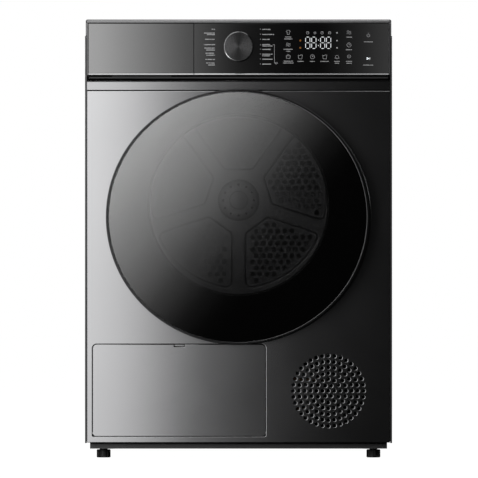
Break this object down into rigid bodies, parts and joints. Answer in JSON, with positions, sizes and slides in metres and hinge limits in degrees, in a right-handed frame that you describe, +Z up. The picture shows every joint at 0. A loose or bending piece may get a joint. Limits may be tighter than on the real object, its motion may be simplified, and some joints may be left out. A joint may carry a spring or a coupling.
{
  "type": "clothes dryer",
  "caption": "Free-standing front-loading heat-pump clothes dryer with a round glass door, control dial, water tank drawer, filter flap, lower vent and levelling feet.",
  "frame": {"origin": "on the floor, at the middle of the whole dryer in plan, midway between the front of the door and the back of the rear duct cover", "axes": "+X to the right when facing the front, +Y from the front to the back, +Z up; the door faces -Y"},
  "size_m": [0.595, 0.644, 0.85],
  "materials": {
    "front_metal": "fine brushed, dark",
    "cabinet_paint": "satin paint",
    "worktop_board": "dark grey laminate, satin",
    "zinc_sheet": "zinc-coated sheet",
    "gloss_black": "high gloss",
    "chrome_trim": "polished, dark",
    "knob_metal": "spun face",
    "grey_plastic": "fine texture",
    "black_plastic": "fine texture",
    "white_plastic": "fine texture",
    "filter_plastic": "fine texture",
    "circuit_board": "satin lacquer",
    "felt": "pressed wool felt",
    "bright_steel": "zinc plated",
    "drum_steel": "rolled stainless steel",
    "black_rubber": "matte",
    "motor_alloy": "cast",
    "compressor_paint": "satin black",
    "fin_aluminium": "thin fins",
    "copper_pipe": "drawn copper",
    "tinted_glass": "dark tint, polished",
    "clear_glass": "clear"
  },
  "bodies": {
    "cabinet": {"base_tray": "black_plastic", "side_panel_left": "cabinet_paint", "side_panel_right": "cabinet_paint", "rear_panel": "zinc_sheet", "rear_duct_cover": "zinc_sheet", "worktop": "worktop_board", "front_panel": "front_metal", "upper_front_strip": "front_metal", "console_frame": "grey_plastic", "control_fascia": "gloss_black", "chrome_strip": "chrome_trim", "control_board": "circuit_board", "tank_housing": "white_plastic", "front_bulkhead": "grey_plastic", "drum_seals": "felt", "hinge_bracket": "bright_steel", "door_lock": "white_plastic", "roller_axles": "bright_steel", "rear_bearing": "bright_steel", "drive_belt": "black_rubber", "motor": "motor_alloy", "compressor": "compressor_paint", "evaporator": "fin_aluminium", "condenser": "fin_aluminium", "refrigerant_pipes": "copper_pipe", "heat_exchanger_filter": "filter_plastic", "air_duct": "black_plastic", "fan_housing": "black_plastic", "drain_pump": "black_plastic", "pump_hose": "black_rubber", "drain_spigot": "black_plastic", "mains_inlet": "black_plastic", "cabinet_screws": "bright_steel"},
    "drum": {"drum_shell": "drum_steel", "drum_rear_wall": "drum_steel", "drum_lifters": "white_plastic", "drum_shaft": "bright_steel"},
    "motor_rotor": {"motor_shaft": "bright_steel", "fan_impeller": "black_plastic"},
    "idler_arm": {"idler_arm": "zinc_sheet"},
    "idler_pulley": {"idler_pulley": "white_plastic"},
    "roller_left": {"roller_left": "black_rubber"},
    "roller_right": {"roller_right": "black_rubber"},
    "door": {"door_frame": "black_plastic", "door_glass": "tinted_glass", "door_trim_ring": "chrome_trim", "door_inner_shell": "grey_plastic", "door_window": "clear_glass", "door_seal": "black_rubber", "hinge_leaf": "bright_steel", "door_hook": "bright_steel"},
    "tank_drawer": {"tank_drawer_front": "gloss_black", "water_tank": "white_plastic"},
    "knob": {"knob": "knob_metal"},
    "flap": {"service_flap": "front_metal"},
    "lint_filter": {"lint_filter": "filter_plastic"},
    "foot_front_left": {"foot_front_left": "black_plastic"},
    "foot_front_right": {"foot_front_right": "black_plastic"},
    "foot_rear_left": {"foot_rear_left": "black_plastic"},
    "foot_rear_right": {"foot_rear_right": "black_plastic"}
  },
  "joints": [
    {"name": "door_hinge", "type": "hinge", "parent": "cabinet", "child": "door", "pos_m": [-0.246, -0.303, 0.467], "axis": [0, 0, -1], "range_deg": [0, 130]},
    {"name": "drum_spin", "type": "hinge", "parent": "cabinet", "child": "drum", "pos_m": [0, 0, 0.503], "axis": [0, 1, 0], "continuous": true},
    {"name": "motor_spin", "type": "hinge", "parent": "cabinet", "child": "motor_rotor", "pos_m": [0.07, 0, 0.11], "axis": [0, 1, 0], "continuous": true},
    {"name": "roller_left_spin", "type": "hinge", "parent": "cabinet", "child": "roller_left", "pos_m": [-0.20016, 0, 0.26445], "axis": [0, 1, 0], "continuous": true},
    {"name": "roller_right_spin", "type": "hinge", "parent": "cabinet", "child": "roller_right", "pos_m": [0.20016, 0, 0.26445], "axis": [0, 1, 0], "continuous": true},
    {"name": "idler_arm_swing", "type": "hinge", "parent": "cabinet", "child": "idler_arm", "pos_m": [0.13926, 0.071, 0.07941], "axis": [0, 1, 0], "range_deg": [0, 8], "stiffness_Nm_per_rad": 8, "springref_deg": -5.73},
    {"name": "idler_spin", "type": "hinge", "parent": "idler_arm", "child": "idler_pulley", "pos_m": [0.13326, 0.055, 0.15341], "axis": [0, 1, 0], "continuous": true},
    {"name": "tank_slide", "type": "slide", "parent": "cabinet", "child": "tank_drawer", "axis": [0, -1, 0], "range_m": [0, 0.42]},
    {"name": "knob_turn", "type": "hinge", "parent": "cabinet", "child": "knob", "pos_m": [0, -0.282, 0.797], "axis": [0, -1, 0], "continuous": true},
    {"name": "flap_hinge", "type": "hinge", "parent": "cabinet", "child": "flap", "pos_m": [-0.1148, -0.277, 0.0475], "axis": [1, 0, 0], "range_deg": [0, 90]},
    {"name": "lint_filter_slide", "type": "slide", "parent": "cabinet", "child": "lint_filter", "axis": [0, 0, 1], "range_m": [0, 0.15]},
    {"name": "foot_front_left_turn", "type": "hinge", "parent": "cabinet", "child": "foot_front_left", "pos_m": [-0.2623, -0.237, 0], "axis": [0, 0, 1], "continuous": true},
    {"name": "foot_front_right_turn", "type": "hinge", "parent": "cabinet", "child": "foot_front_right", "pos_m": [0.2623, -0.237, 0], "axis": [0, 0, 1], "continuous": true},
    {"name": "foot_rear_left_turn", "type": "hinge", "parent": "cabinet", "child": "foot_rear_left", "pos_m": [-0.2623, 0.263, 0], "axis": [0, 0, 1], "continuous": true},
    {"name": "foot_rear_right_turn", "type": "hinge", "parent": "cabinet", "child": "foot_rear_right", "pos_m": [0.2623, 0.263, 0], "axis": [0, 0, 1], "continuous": true}
  ],
  "couplings": [
    {"joint": "motor_spin", "follows": "drum_spin", "ratio": 23.033},
    {"joint": "roller_left_spin", "follows": "drum_spin", "ratio": -7.8857},
    {"joint": "roller_right_spin", "follows": "drum_spin", "ratio": -7.8857},
    {"joint": "idler_spin", "follows": "drum_spin", "ratio": -17.462}
  ]
}
